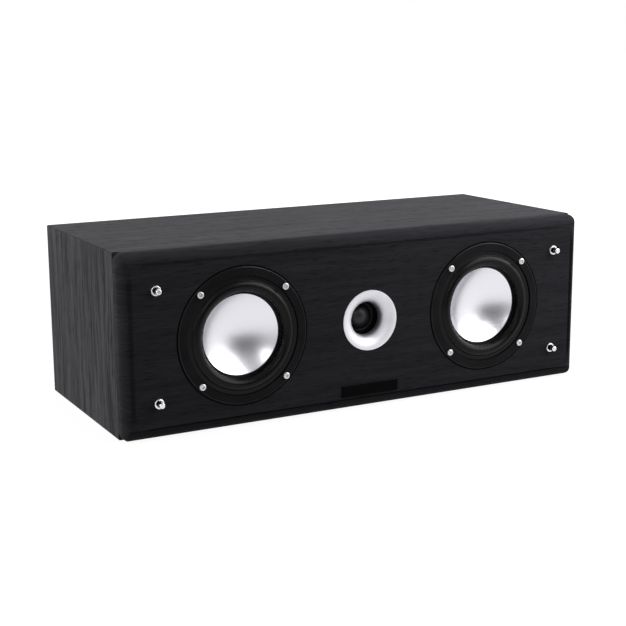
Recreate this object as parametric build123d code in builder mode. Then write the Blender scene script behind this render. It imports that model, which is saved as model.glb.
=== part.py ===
from build123d import *
import os
from math import asin, cos, degrees, sqrt

# Two-way center channel speaker: two woofers beside a soft-dome tweeter in a wood-grain cabinet.
# Millimetres, +Z up, the front faces -Y, the origin is the middle of the footprint on the shelf.
# "Depth" below is measured from the flat front face into the cabinet, along +Y.

# Cabinet boards
cabinet_width = 498.0
cabinet_height = 170.0
cabinet_depth = 208.0
cabinet_corner = 1.5
wrap_board = 15.0
baffle_board = 18.0
rear_board = 12.0
rear_inset = 5.0
rear_rabbet = 6.0
board_clearance = 0.2
edge_round = 11.0
edge_step = 2.0
baffle_corner = 8.0

# Damping pads on the two end walls
wadding_thickness = 20.0
wadding_margin = 6.0

# Bare plate low on the front
nameplate_width = 62.0
nameplate_height = 11.5
nameplate_thickness = 1.2
nameplate_rise = 19.2
nameplate_corner = 0.8
nameplate_bevel = 0.4

# Ball studs for the grille
peg_inset_x = 32.7
peg_inset_z = 33.9
peg_collar_radius = 4.7
peg_collar_height = 1.6
peg_collar_round = 0.8
peg_cup_radius = 3.0
peg_cup_depth = 1.0
peg_neck_radius = 1.6
peg_neck_length = 2.8
peg_head_radius = 2.8
peg_head_length = 4.2
peg_head_round = 1.4
peg_head_back_round = 0.8
peg_shank_radius = 2.5
peg_shank_length = 12.0

# Drivers: places on the baffle
driver_rise = 1.25
woofer_inset = 116.0

# Woofer frame and its seat in the baffle
flange_radius = 64.0
flange_thickness = 4.0
flange_proud = 1.0
flange_edge = 1.0
gasket_thickness = 1.0
rebate_clearance = 0.4
frame_clearance = 1.0
basket_radius = 53.0
basket_wall = 2.5
basket_straight = 8.0
window_count = 6
window_width = 26.0
window_corner = 4.0
window_margin = 2.0

# Woofer surround, a rubber half-roll
surround_thickness = 1.2
surround_lip_radius = 55.3
surround_seat_clearance = 0.2
surround_drop = 1.2
roll_mid_radius = 46.0
roll_radius = 5.0
roll_depth = 2.6

# Woofer cone, a spun metal dish
cone_rim_radius = 37.8
cone_rim_depth = 6.2
dish_depth = 17.8
cone_thickness = 0.8

# Woofer motor
former_radius = 13.0
former_wall = 0.4
coil_build = 0.8
coil_length = 12.0
former_tail = 1.0
gap_clearance = 0.5
pole_clearance = 0.4
glue_line = 0.05
spider_radius = 36.5
spider_depth = 32.0
spider_thickness = 0.7
spider_wave = 1.2
spider_waves = 4
spider_room = 8.0
spider_ledge = 6.0
spider_clearance = 0.2
basket_floor = 2.5
basket_floor_bore = 20.0
top_plate_radius = 36.0
top_plate_thickness = 6.0
magnet_radius = 42.0
magnet_bore = 19.0
magnet_thickness = 16.0
back_plate_radius = 38.0
back_plate_thickness = 6.0
pole_vent_radius = 4.0

# Terminal strips on the drivers
strip_thickness = 1.6
strip_width = 14.0
strip_reach = 11.5
strip_clearance = 0.2
tag_width = 3.0
tag_length = 5.0
tag_thickness = 0.8
tag_spacing = 8.0

# Woofer screws
screw_circle_radius = 59.6
screw_head_radius = 3.3
screw_head_height = 2.6
screw_head_round = 1.3
screw_shank_radius = 1.9
screw_length = 14.0
screw_clearance = 0.4
pilot_clearance = 0.1
socket_across = 2.4
socket_depth = 1.6

# Tweeter
horn_radius = 29.2
horn_rim = 1.2
horn_proud = 0.4
horn_flare = 12.0
horn_tail = 1.4
horn_clearance = 0.3
faceplate_radius = 42.0
faceplate_thickness = 3.0
snout_wall = 3.6
snout_clearance = 0.3
dome_radius = 12.5
dome_height = 6.2
dome_thickness = 0.4
dome_roll_radius = 1.5
dome_lip_radius = 20.0
dome_lip_thickness = 0.5
tweeter_coil_wall = 0.6
tweeter_coil_length = 6.0
tweeter_gap = 0.5
tweeter_plate_radius = 33.0
tweeter_plate_thickness = 4.0
tweeter_magnet_radius = 36.0
tweeter_magnet_bore = 17.0
tweeter_magnet_thickness = 13.0
tweeter_back_radius = 34.0
tweeter_back_thickness = 4.0
tweeter_screw_circle = 38.2
tweeter_screw_head_radius = 3.0
tweeter_screw_head_height = 2.0
tweeter_screw_radius = 1.5
tweeter_screw_length = 12.0

# Terminal cup on the rear panel
cup_width = 90.0
cup_height = 60.0
cup_corner = 6.0
cup_flange = 2.5
cup_gasket_thickness = 1.0
cup_wall = 2.0
recess_width = 70.0
recess_height = 40.0
recess_depth = 24.0
recess_corner = 5.0
cup_screw_inset = 5.0
cup_screw_radius = 1.6
cup_screw_length = 10.0
cup_screw_head_radius = 2.9
cup_screw_head_height = 1.3
cup_screw_head_round = 0.9
cutout_clearance = 0.5

# Binding posts and their thumb nuts
post_spacing = 24.0
post_collar_radius = 5.5
post_collar_height = 3.0
post_radius = 3.0
post_length = 18.0
post_socket_radius = 2.0
post_socket_depth = 12.0
post_wire_hole_radius = 1.3
post_wire_hole_rise = 2.4
post_tail_radius = 2.5
post_tail_length = 11.0
post_clearance = 0.1
thumb_radius = 7.0
thumb_length = 15.0
thumb_chamfer = 1.0
thumb_gap = 0.2
thumb_clearance = 0.05
thumb_flutes = 12
thumb_flute_radius = 0.9
lock_nut_across = 8.0
lock_nut_height = 3.0

# Reflex port in the rear panel
port_inset = 119.0
port_radius = 22.5
port_wall = 2.5
port_length = 92.0
port_flange_radius = 33.0
port_flange = 2.5
port_flare = 6.0
port_clearance = 0.2

# Crossover on the cabinet floor
board_width = 110.0
board_depth = 76.0
board_thickness = 1.6
board_corner = 3.0
board_back = 36.0
board_screw_inset = 5.0
spacer_radius = 4.0
spacer_height = 8.0
spacer_bore_clearance = 0.1
board_screw_radius = 1.6
board_screw_head_radius = 3.0
board_screw_head_height = 2.0
board_screw_bite = 8.0
choke_radius = 19.0
choke_height = 22.0
choke_core_radius = 8.0
choke_core_bore = 3.5
choke_flange = 2.0
choke_offset = 28.0
tweeter_choke_radius = 13.0
tweeter_choke_bore = 7.0
tweeter_choke_height = 14.0
tweeter_choke_offset = 30.0
part_row = 12.0
capacitor_radius = 8.0
capacitor_height = 26.0
capacitor_round = 1.0
capacitor_pitch = 60.0
resistor_offset = 6.0
resistor_length = 26.0
resistor_width = 10.0
resistor_height = 9.0

# Inner leads
lead_radius = 1.7
input_lead_bend = 12.0
lead_bend = 9.0

# Places that follow from the sizes above
front_y = -cabinet_depth / 2
driver_z = cabinet_height / 2 + driver_rise
inner_width = cabinet_width - 2 * wrap_board
inner_height = cabinet_height - 2 * wrap_board
corner_x = cabinet_width / 2 - baffle_corner
corner_z = cabinet_height / 2 - baffle_corner
corner_sides = [(sx, sz) for sx in (-1, 1) for sz in (-1, 1)]
corner_front = front_y + edge_round - sqrt(edge_round**2 - (edge_round - baffle_corner) ** 2)
rear_face = cabinet_depth - rear_inset
rear_seat = rear_face - rear_board
rebate_depth = flange_thickness - flange_proud + gasket_thickness
flange_back = flange_thickness - flange_proud
surround_seat = surround_drop - flange_proud + surround_thickness
frame_hole_radius = basket_radius + frame_clearance
motor_depth = spider_depth + spider_room
magnet_depth = motor_depth + top_plate_thickness
yoke_depth = magnet_depth + magnet_thickness
coil_radius = former_radius + glue_line + coil_build
pole_radius = former_radius - former_wall - pole_clearance
throat_radius = horn_radius - horn_rim - horn_flare
horn_seat = horn_flare + horn_tail - horn_proud
snout_radius = throat_radius + snout_wall
dome_seat = baffle_board + faceplate_thickness
tweeter_magnet_depth = dome_seat + tweeter_plate_thickness
tweeter_yoke_depth = tweeter_magnet_depth + tweeter_magnet_thickness
cup_seat = rear_face + cup_gasket_thickness
cup_floor = cup_seat + cup_flange - recess_depth
post_end = cup_floor - cup_wall - post_tail_length
board_y = front_y + rear_seat - board_back - board_depth / 2
board_z = wrap_board + spacer_height
parts_z = board_z + board_thickness
woofer_offset = cabinet_width / 2 - woofer_inset
port_offset = cabinet_width / 2 - port_inset
peg_x = cabinet_width / 2 - peg_inset_x
peg_places = [(sx * peg_x, z) for sx in (-1, 1) for z in (peg_inset_z, cabinet_height - peg_inset_z)]
woofer_places = [(-woofer_offset, driver_z), (woofer_offset, driver_z)]
screw_reach = screw_circle_radius / sqrt(2)
screw_places = [
    (x + sx * screw_reach, z + sz * screw_reach)
    for x, z in woofer_places
    for sx in (-1, 1)
    for sz in (-1, 1)
]
cup_screw_x = cup_width / 2 - cup_screw_inset
cup_screw_z = cup_height / 2 - cup_screw_inset
cup_screw_places = [(sx * cup_screw_x, driver_z + sz * cup_screw_z) for sx in (-1, 1) for sz in (-1, 1)]
post_places = {"red": (-post_spacing / 2, driver_z), "black": (post_spacing / 2, driver_z)}
board_screw_places = [
    (sx * (board_width / 2 - board_screw_inset), board_y + sy * (board_depth / 2 - board_screw_inset))
    for sx in (-1, 1)
    for sy in (-1, 1)
]

os.makedirs("parts", exist_ok=True)


def keep(piece, name):
    """Label a finished piece and write its STEP file."""
    piece.part.label = name
    export_step(piece.part, f"parts/{name}.step")


def facing(depth):
    """Plane parallel to the front face, at a depth behind it, looking out at the listener."""
    return Plane(origin=(0, front_y + depth, 0), x_dir=(1, 0, 0), z_dir=(0, -1, 0))


def half_section(place):
    """Plane through a round piece's axis: its x is the radius, its y the depth."""
    return Plane(origin=(place[0], front_y, place[1]), x_dir=(1, 0, 0), z_dir=(0, 0, 1))


def turning_axis(place):
    """Axis of a round piece, running into the cabinet."""
    return Axis((place[0], front_y, place[1]), (0, 1, 0))


def edge_outline(plane, half_extent, step):
    """Outline of the baffle across one direction: quarter-round at both ends, behind a step if there is one."""
    round_start = front_y + step + edge_round
    round_middle = half_extent - edge_round
    shoulder = [(round_middle, front_y + step)] if step else []
    with BuildSketch(plane) as outline:
        with BuildLine():
            Polyline(
                (0, front_y + baffle_board),
                (half_extent, front_y + baffle_board),
                (half_extent, round_start),
            )
            CenterArc((round_middle, round_start), edge_round, 0, -90)
            Polyline(*shoulder, (round_middle, front_y), (0, front_y))
            mirror(about=Plane.YZ)
        make_face()
    return outline.sketch


# Cabinet wrap: top, bottom and ends folded from one board, rabbeted at the back
with BuildPart() as cabinet_wrap:
    with BuildSketch(facing(baffle_board)):
        with Locations((0, cabinet_height / 2)):
            RectangleRounded(cabinet_width, cabinet_height, cabinet_corner)
            Rectangle(inner_width, inner_height, mode=Mode.SUBTRACT)
    extrude(amount=baffle_board - cabinet_depth)
    with BuildSketch(facing(rear_seat)):
        with Locations((0, cabinet_height / 2)):
            Rectangle(inner_width + 2 * rear_rabbet, inner_height + 2 * rear_rabbet)
    extrude(amount=rear_seat - cabinet_depth, mode=Mode.SUBTRACT)
    with BuildSketch(Plane.XY.offset(wrap_board)):
        with Locations(*board_screw_places):
            Circle(board_screw_radius + pilot_clearance)
    extrude(amount=-board_screw_bite - pilot_clearance, mode=Mode.SUBTRACT)
keep(cabinet_wrap, "cabinet_wrap")

# Front baffle: stepped round along top and bottom, plain round down the ends, turned corners, cut-outs
with BuildPart() as front_baffle:
    with BuildSketch(facing(baffle_board)):
        with Locations((0, cabinet_height / 2)):
            Rectangle(cabinet_width, cabinet_height)
    extrude(amount=baffle_board)
    extrude(
        edge_outline(Plane.XY, cabinet_width / 2, 0),
        amount=cabinet_height,
        dir=(0, 0, 1),
        mode=Mode.INTERSECT,
    )
    with BuildSketch(facing(baffle_board)):
        with Locations((0, cabinet_height / 2)):
            Rectangle(cabinet_width, cabinet_height)
            Rectangle(2 * corner_x, cabinet_height, mode=Mode.SUBTRACT)
            Rectangle(cabinet_width, 2 * corner_z, mode=Mode.SUBTRACT)
    extrude(amount=baffle_board, mode=Mode.SUBTRACT)
    for side, rise in corner_sides:
        corner = (side * corner_x, 0, cabinet_height / 2 + rise * corner_z)
        with BuildSketch(Plane(origin=corner, x_dir=(side, 0, 0), z_dir=(0, 0, side))):
            with BuildLine():
                Polyline(
                    (0, corner_front),
                    (0, front_y + baffle_board),
                    (baffle_corner, front_y + baffle_board),
                    (baffle_corner, front_y + edge_round),
                )
                RadiusArc((baffle_corner, front_y + edge_round), (0, corner_front), edge_round)
            make_face()
        revolve(axis=Axis(corner, (0, -side * rise, 0)), revolution_arc=90)
    upright = Plane(origin=(0, 0, cabinet_height / 2), x_dir=(0, 0, 1), z_dir=(-1, 0, 0))
    extrude(
        edge_outline(upright, cabinet_height / 2, edge_step),
        amount=cabinet_width / 2,
        both=True,
        mode=Mode.INTERSECT,
    )
    with BuildSketch(facing(0)):
        with Locations(*woofer_places):
            Circle(flange_radius + rebate_clearance)
    extrude(amount=-rebate_depth, mode=Mode.SUBTRACT)
    with BuildSketch(facing(0)):
        with Locations(*woofer_places):
            Circle(frame_hole_radius)
        with Locations((0, driver_z)):
            Circle(snout_radius + snout_clearance)
    extrude(amount=-baffle_board, mode=Mode.SUBTRACT)
    with BuildSketch(facing(0)):
        with Locations((0, driver_z)):
            Circle(horn_radius + horn_clearance)
    extrude(amount=-horn_seat, mode=Mode.SUBTRACT)
    with BuildSketch(facing(0)):
        with Locations(*screw_places):
            Circle(screw_shank_radius + pilot_clearance)
    extrude(amount=-screw_length - pilot_clearance, mode=Mode.SUBTRACT)
    with BuildSketch(facing(0)):
        with Locations(*peg_places):
            Circle(peg_shank_radius + pilot_clearance)
    extrude(amount=-peg_shank_length - pilot_clearance, mode=Mode.SUBTRACT)
    with BuildSketch(facing(baffle_board)):
        with Locations((0, driver_z)):
            with PolarLocations(tweeter_screw_circle, 4, start_angle=45):
                Circle(tweeter_screw_radius + pilot_clearance)
    extrude(
        amount=tweeter_screw_length - faceplate_thickness + pilot_clearance,
        mode=Mode.SUBTRACT,
    )
keep(front_baffle, "front_baffle")

# Rear panel: seats on the rabbet, cut out for the terminal cup and the port
with BuildPart() as rear_panel:
    with BuildSketch(facing(rear_face)):
        with Locations((0, cabinet_height / 2)):
            Rectangle(
                inner_width + 2 * (rear_rabbet - board_clearance),
                inner_height + 2 * (rear_rabbet - board_clearance),
            )
        with Locations((0, driver_z)):
            RectangleRounded(
                recess_width + 2 * (cup_wall + cutout_clearance),
                recess_height + 2 * (cup_wall + cutout_clearance),
                recess_corner,
                mode=Mode.SUBTRACT,
            )
        with Locations((port_offset, driver_z)):
            Circle(port_radius + port_wall + port_clearance, mode=Mode.SUBTRACT)
    extrude(amount=rear_board)
    with BuildSketch(facing(rear_face)):
        with Locations(*cup_screw_places):
            Circle(cup_screw_radius + pilot_clearance)
    extrude(
        amount=cup_screw_length - cup_flange - cup_gasket_thickness + pilot_clearance,
        mode=Mode.SUBTRACT,
    )
keep(rear_panel, "rear_panel")

# Wadding: one soft pad glued to each end wall
with BuildPart() as wadding:
    with BuildSketch(facing(baffle_board + wadding_margin)):
        with Locations(
            (-(inner_width - wadding_thickness) / 2, cabinet_height / 2),
            ((inner_width - wadding_thickness) / 2, cabinet_height / 2),
        ):
            Rectangle(wadding_thickness, inner_height - 2 * wadding_margin)
    extrude(amount=baffle_board + 2 * wadding_margin - rear_seat)
keep(wadding, "wadding")

# Nameplate: thin bevelled plate stuck to the flat front
with BuildPart() as nameplate:
    with BuildSketch(facing(0)):
        with Locations((0, nameplate_rise)):
            RectangleRounded(nameplate_width, nameplate_height, nameplate_corner)
    extrude(amount=nameplate_thickness)
    chamfer(nameplate.faces().sort_by(Axis.Y)[0].edges(), nameplate_bevel)
keep(nameplate, "nameplate")

# Grille pegs: turned studs with a cupped collar, a waist and a rounded head, driven into the baffle
with BuildPart() as grille_pegs:
    with BuildSketch(facing(0)):
        with Locations(*peg_places):
            Circle(peg_collar_radius)
    extrude(amount=peg_collar_height)
    fillet(grille_pegs.faces().group_by(Axis.Y)[0].edges(), peg_collar_round)
    with BuildSketch(facing(-peg_collar_height)):
        with Locations(*peg_places):
            Circle(peg_cup_radius)
            Circle(peg_neck_radius, mode=Mode.SUBTRACT)
    extrude(amount=-peg_cup_depth, mode=Mode.SUBTRACT)
    with BuildSketch(facing(0)):
        with Locations(*peg_places):
            Circle(peg_shank_radius)
    extrude(amount=-peg_shank_length)
    with BuildSketch(facing(-peg_collar_height)):
        with Locations(*peg_places):
            Circle(peg_neck_radius)
    extrude(amount=peg_neck_length)
    with BuildSketch(facing(-peg_collar_height - peg_neck_length)):
        with Locations(*peg_places):
            Circle(peg_head_radius)
    extrude(amount=peg_head_length)
    head_ends = grille_pegs.edges().filter_by(GeomType.CIRCLE).group_by(Axis.Y)
    fillet(head_ends[0], peg_head_round)
    fillet(head_ends[1].sort_by(SortBy.RADIUS)[-len(peg_places) :], peg_head_back_round)
keep(grille_pegs, "grille_pegs")

# Woofers: one set of pieces on each side
for side, place in zip(("left", "right"), woofer_places):
    section = half_section(place)
    axis = turning_axis(place)
    strip_side = 1 if side == "left" else -1

    # Gasket between the flange and the rebate floor
    with BuildPart() as woofer_gasket:
        with BuildSketch(facing(rebate_depth)):
            with Locations(place):
                Circle(flange_radius)
                Circle(frame_hole_radius, mode=Mode.SUBTRACT)
                with PolarLocations(screw_circle_radius, 4, start_angle=45):
                    Circle(screw_shank_radius + screw_clearance, mode=Mode.SUBTRACT)
        extrude(amount=gasket_thickness)
    keep(woofer_gasket, f"woofer_gasket_{side}")

    # Basket: cast frame with the round flange, windows, spider ledge and motor floor
    ledge_bore = spider_radius - spider_ledge
    spider_seat = spider_depth + spider_thickness
    floor_radius = spider_radius + basket_wall + spider_clearance
    with BuildPart() as woofer_basket:
        with BuildSketch(section):
            with BuildLine():
                Polyline(
                    (flange_radius, -flange_proud),
                    (flange_radius, flange_back),
                    (basket_radius, flange_back),
                    (basket_radius, basket_straight),
                    (floor_radius, spider_depth),
                    (floor_radius, motor_depth),
                    (basket_floor_bore, motor_depth),
                    (basket_floor_bore, motor_depth - basket_floor),
                    (ledge_bore, motor_depth - basket_floor),
                    (ledge_bore, spider_seat),
                    (floor_radius - basket_wall, spider_seat),
                    (floor_radius - basket_wall, spider_depth),
                    (basket_radius - basket_wall, basket_straight),
                    (basket_radius - basket_wall, surround_seat),
                    (surround_lip_radius + surround_seat_clearance, surround_seat),
                    (surround_lip_radius + surround_seat_clearance, -flange_proud),
                    close=True,
                )
            make_face()
        revolve(axis=axis)
        flange_rims = woofer_basket.edges().filter_by(GeomType.CIRCLE).sort_by(SortBy.RADIUS)[-2:]
        fillet(flange_rims.sort_by(Axis.Y)[0], flange_edge)
        with BuildSketch(facing(basket_straight + window_margin)):
            with Locations(place):
                with PolarLocations((basket_radius + floor_radius) / 2, window_count):
                    RectangleRounded(
                        2 * (basket_radius - floor_radius) + 2 * basket_wall, window_width, window_corner
                    )
        extrude(amount=basket_straight + 2 * window_margin - spider_depth, mode=Mode.SUBTRACT)
        with BuildSketch(facing(-flange_proud)):
            with Locations(place):
                with PolarLocations(screw_circle_radius, 4, start_angle=45):
                    Circle(screw_shank_radius + screw_clearance)
        extrude(amount=-flange_thickness, mode=Mode.SUBTRACT)
    keep(woofer_basket, f"woofer_basket_{side}")

    # Surround: outer lip in the flange's step, half-roll, inner lip over the cone's rim
    roll_front = roll_radius + surround_thickness / 2
    roll_back = roll_radius - surround_thickness / 2
    lip_front = surround_seat - surround_thickness
    front_angle = asin((roll_depth - lip_front) / roll_front)
    back_angle = asin((roll_depth - surround_seat) / roll_back)
    roll_center = (roll_mid_radius, roll_depth)
    with BuildPart() as woofer_surround:
        with BuildSketch(section):
            with BuildLine():
                CenterArc(roll_center, roll_front, -degrees(front_angle), degrees(front_angle) - 180)
                CenterArc(roll_center, roll_back, -degrees(back_angle), degrees(back_angle) - 180)
                Polyline(
                    (roll_mid_radius - roll_front, roll_depth),
                    (roll_mid_radius - roll_front, cone_rim_depth - surround_thickness),
                    (cone_rim_radius, cone_rim_depth - surround_thickness),
                    (cone_rim_radius, cone_rim_depth),
                    (roll_mid_radius - roll_back, cone_rim_depth),
                    (roll_mid_radius - roll_back, roll_depth),
                )
                Polyline(
                    (roll_mid_radius + roll_front * cos(front_angle), lip_front),
                    (surround_lip_radius, lip_front),
                    (surround_lip_radius, surround_seat),
                    (roll_mid_radius + roll_back * cos(back_angle), surround_seat),
                )
            make_face()
        revolve(axis=axis)
    keep(woofer_surround, f"woofer_surround_{side}")

    # Cone: shallow spherical dish with a flat rim under the surround
    dish_radius = (cone_rim_radius**2 + dish_depth**2) / (2 * dish_depth)
    dish_centre = cone_rim_depth + dish_depth - dish_radius
    dish_back = dish_radius + cone_thickness
    rim_back = cone_rim_depth + cone_thickness
    front_reach = degrees(asin(cone_rim_radius / dish_radius))
    back_rim = sqrt(dish_back**2 - (rim_back - dish_centre) ** 2)
    back_reach = degrees(asin(back_rim / dish_back))
    with BuildPart() as woofer_cone:
        with BuildSketch(section):
            with BuildLine():
                CenterArc((0, dish_centre), dish_radius, 90, -front_reach)
                Polyline(
                    (cone_rim_radius, cone_rim_depth),
                    (roll_mid_radius - roll_back, cone_rim_depth),
                    (roll_mid_radius - roll_back, rim_back),
                    (back_rim, rim_back),
                )
                CenterArc((0, dish_centre), dish_back, 90, -back_reach)
                Line((0, dish_centre + dish_radius), (0, dish_centre + dish_back))
            make_face()
        revolve(axis=axis)
    keep(woofer_cone, f"woofer_cone_{side}")

    # Voice-coil former: thin tube glued to the back of the dish
    former_bore = former_radius - former_wall
    former_start = dish_centre + sqrt(dish_back**2 - former_bore**2) + glue_line
    coil_middle = motor_depth + top_plate_thickness / 2
    coil_end = coil_middle + coil_length / 2
    with BuildPart() as woofer_former:
        with BuildSketch(facing(former_start)):
            with Locations(place):
                Circle(former_radius)
                Circle(former_bore, mode=Mode.SUBTRACT)
        extrude(amount=former_start - coil_end - former_tail)
    keep(woofer_former, f"woofer_former_{side}")

    # Voice coil: winding on the former, centred in the magnetic gap
    with BuildPart() as woofer_coil:
        with BuildSketch(facing(coil_end)):
            with Locations(place):
                Circle(coil_radius)
                Circle(former_radius + glue_line, mode=Mode.SUBTRACT)
        extrude(amount=coil_length)
    keep(woofer_coil, f"woofer_coil_{side}")

    # Spider: corrugated cloth disc from the former to the basket's ledge
    wave_start = former_radius + 2 * coil_build
    wave_step = (ledge_bore - wave_start) / (2 * spider_waves)
    wave_depths = [spider_wave * (index % 2) for index in range(2 * spider_waves + 1)]
    wave_front = [(wave_start + wave_step * i, spider_depth - rise) for i, rise in enumerate(wave_depths)]
    wave_back = [(radius, depth + spider_thickness) for radius, depth in reversed(wave_front)]
    with BuildPart() as woofer_spider:
        with BuildSketch(section):
            with BuildLine():
                Polyline(
                    (former_radius + glue_line, spider_depth),
                    *wave_front,
                    (spider_radius, spider_depth),
                    (spider_radius, spider_seat),
                    *wave_back,
                    (former_radius + glue_line, spider_seat),
                    close=True,
                )
            make_face()
        revolve(axis=axis)
    keep(woofer_spider, f"woofer_spider_{side}")

    # Top plate: steel ring staked to the basket floor
    with BuildPart() as woofer_top_plate:
        with BuildSketch(facing(magnet_depth)):
            with Locations(place):
                Circle(top_plate_radius)
                Circle(coil_radius + gap_clearance, mode=Mode.SUBTRACT)
        extrude(amount=top_plate_thickness)
    keep(woofer_top_plate, f"woofer_top_plate_{side}")

    # Magnet: ferrite ring between the two steel plates
    with BuildPart() as woofer_magnet:
        with BuildSketch(facing(yoke_depth)):
            with Locations(place):
                Circle(magnet_radius)
                Circle(magnet_bore, mode=Mode.SUBTRACT)
        extrude(amount=magnet_thickness)
    keep(woofer_magnet, f"woofer_magnet_{side}")

    # Yoke: back plate and vented pole, forged as one
    with BuildPart() as woofer_yoke:
        with BuildSketch(section):
            with BuildLine():
                Polyline(
                    (pole_vent_radius, motor_depth),
                    (pole_radius, motor_depth),
                    (pole_radius, yoke_depth),
                    (back_plate_radius, yoke_depth),
                    (back_plate_radius, yoke_depth + back_plate_thickness),
                    (pole_vent_radius, yoke_depth + back_plate_thickness),
                    close=True,
                )
            make_face()
        revolve(axis=axis)
    keep(woofer_yoke, f"woofer_yoke_{side}")

    # Terminal strip: board on the basket floor's rim with two solder tags, towards the cabinet's middle
    strip_start = top_plate_radius + strip_clearance
    strip_middle = place[0] + strip_side * (strip_start + strip_reach / 2)
    tag_middle = place[0] + strip_side * (strip_start + strip_reach + tag_length / 2)
    with BuildPart() as woofer_terminals:
        with BuildSketch(facing(motor_depth)):
            with Locations((strip_middle, place[1])):
                Rectangle(strip_reach, strip_width)
        extrude(amount=-strip_thickness)
        with BuildSketch(facing(motor_depth)):
            with Locations((tag_middle, place[1])):
                with GridLocations(0, tag_spacing, 1, 2):
                    Rectangle(tag_length, tag_width)
        extrude(amount=-tag_thickness)
    keep(woofer_terminals, f"woofer_terminals_{side}")

# Woofer screws: round heads with a hexagon socket, four to a flange
with BuildPart() as woofer_screws:
    with BuildSketch(facing(-flange_proud)):
        with Locations(*screw_places):
            Circle(screw_head_radius)
    extrude(amount=screw_head_height)
    fillet(woofer_screws.faces().group_by(Axis.Y)[0].edges(), screw_head_round)
    with BuildSketch(facing(-flange_proud - screw_head_height)):
        with Locations(*screw_places):
            RegularPolygon(socket_across / 2, 6, major_radius=False)
    extrude(amount=-socket_depth, mode=Mode.SUBTRACT)
    with BuildSketch(facing(-flange_proud)):
        with Locations(*screw_places):
            Circle(screw_shank_radius)
    extrude(amount=-flange_proud - screw_length)
keep(woofer_screws, "woofer_screws")

tweeter_place = (0, driver_z)
tweeter_section = half_section(tweeter_place)
tweeter_axis = turning_axis(tweeter_place)

# Tweeter horn: bright trumpet ring pressed into the baffle from the front
with BuildPart() as tweeter_horn:
    with BuildSketch(tweeter_section):
        with BuildLine():
            Polyline(
                (horn_radius - horn_rim, -horn_proud),
                (horn_radius, -horn_proud),
                (horn_radius, horn_seat),
                (throat_radius, horn_seat),
                (throat_radius, horn_flare - horn_proud),
            )
            CenterArc((horn_radius - horn_rim, horn_flare - horn_proud), horn_flare, 180, 90)
        make_face()
    revolve(axis=tweeter_axis)
keep(tweeter_horn, "tweeter_horn")

# Tweeter faceplate: black plate behind the baffle, its snout reaching up to the horn
with BuildPart() as tweeter_faceplate:
    with BuildSketch(tweeter_section):
        with BuildLine():
            Polyline(
                (throat_radius, horn_seat),
                (snout_radius, horn_seat),
                (snout_radius, baffle_board),
                (faceplate_radius, baffle_board),
                (faceplate_radius, dome_seat),
                (dome_lip_radius + glue_line, dome_seat),
                (dome_lip_radius + glue_line, dome_seat - dome_lip_thickness),
                (throat_radius, dome_seat - dome_lip_thickness),
                close=True,
            )
        make_face()
    revolve(axis=tweeter_axis)
    with BuildSketch(facing(baffle_board)):
        with Locations(tweeter_place):
            with PolarLocations(tweeter_screw_circle, 4, start_angle=45):
                Circle(tweeter_screw_radius + screw_clearance)
    extrude(amount=-faceplate_thickness, mode=Mode.SUBTRACT)
keep(tweeter_faceplate, "tweeter_faceplate")

# Tweeter dome: coated cloth, pressed as one piece with its small roll and clamping lip
dome_base = dome_seat - dome_lip_thickness
dome_arc = (dome_radius**2 + dome_height**2) / (2 * dome_height)
dome_centre = dome_base - dome_height + dome_arc
dome_reach = degrees(asin(dome_radius / dome_arc))
inner_arc = dome_arc - dome_thickness
inner_rim = sqrt(inner_arc**2 - (dome_centre - dome_base) ** 2)
inner_reach = degrees(asin(inner_rim / inner_arc))
roll_middle = dome_radius + dome_roll_radius
with BuildPart() as tweeter_dome:
    with BuildSketch(tweeter_section):
        with BuildLine():
            Line((0, dome_centre - dome_arc), (0, dome_centre - inner_arc))
            CenterArc((0, dome_centre), dome_arc, -90, dome_reach)
            CenterArc((0, dome_centre), inner_arc, -90, inner_reach)
            CenterArc((roll_middle, dome_base), dome_roll_radius, 180, 180)
            CenterArc((roll_middle, dome_base), dome_roll_radius - dome_thickness, 180, 180)
            Line((inner_rim, dome_base), (inner_rim, dome_seat))
            Line((inner_rim, dome_seat), (roll_middle - dome_roll_radius + dome_thickness, dome_seat))
            Line(
                (roll_middle - dome_roll_radius + dome_thickness, dome_seat),
                (roll_middle - dome_roll_radius + dome_thickness, dome_base),
            )
            Polyline(
                (roll_middle + dome_roll_radius, dome_base),
                (dome_lip_radius, dome_base),
                (dome_lip_radius, dome_seat),
                (roll_middle + dome_roll_radius - dome_thickness, dome_seat),
                (roll_middle + dome_roll_radius - dome_thickness, dome_base),
            )
        make_face()
    revolve(axis=tweeter_axis)
keep(tweeter_dome, "tweeter_dome")

# Tweeter voice coil: hangs from the dome's edge into the gap
tweeter_coil_bore = inner_rim
tweeter_coil_radius = tweeter_coil_bore + tweeter_coil_wall
with BuildPart() as tweeter_coil:
    with BuildSketch(facing(dome_seat + glue_line)):
        with Locations(tweeter_place):
            Circle(tweeter_coil_radius)
            Circle(tweeter_coil_bore, mode=Mode.SUBTRACT)
    extrude(amount=-tweeter_coil_length)
keep(tweeter_coil, "tweeter_coil")

# Tweeter top plate, magnet and yoke, stacked on the faceplate
with BuildPart() as tweeter_top_plate:
    with BuildSketch(facing(dome_seat)):
        with Locations(tweeter_place):
            Circle(tweeter_plate_radius)
            Circle(tweeter_coil_radius + tweeter_gap, mode=Mode.SUBTRACT)
    extrude(amount=-tweeter_plate_thickness)
keep(tweeter_top_plate, "tweeter_top_plate")

with BuildPart() as tweeter_magnet:
    with BuildSketch(facing(tweeter_magnet_depth)):
        with Locations(tweeter_place):
            Circle(tweeter_magnet_radius)
            Circle(tweeter_magnet_bore, mode=Mode.SUBTRACT)
    extrude(amount=-tweeter_magnet_thickness)
keep(tweeter_magnet, "tweeter_magnet")

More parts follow.
